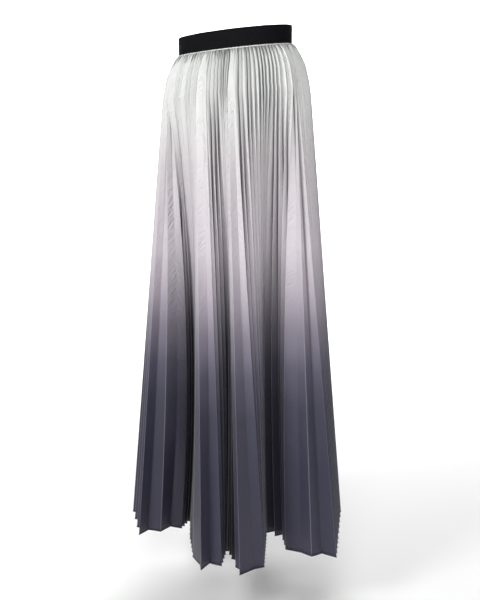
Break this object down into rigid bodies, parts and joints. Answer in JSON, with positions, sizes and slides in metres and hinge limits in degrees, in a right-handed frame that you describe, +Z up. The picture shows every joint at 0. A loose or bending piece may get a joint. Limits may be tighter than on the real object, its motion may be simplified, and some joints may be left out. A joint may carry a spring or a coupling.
{
  "type": "pleated maxi skirt",
  "caption": "Long worn skirt of sunray pleats opening into deep flutes at the hem, hung from a plain elastic waistband, open at waist and hem.",
  "frame": {"origin": "the middle of the waistband's opening, where the wearer's waist holds the skirt", "axes": "+Z up, the front faces -Y and the wearer's left is +X"},
  "size_m": [0.4342, 0.3897, 0.9242],
  "materials": {
    "pleated_cloth": "soft satin-backed cloth, off-white at the waist, pale mauve below it and slate blue-grey at the hem",
    "elastic": "matt black woven elastic"
  },
  "bodies": {
    "root": {"skirt_front": "pleated_cloth", "skirt_back": "pleated_cloth", "waistband": "elastic"}
  },
  "joints": []
}
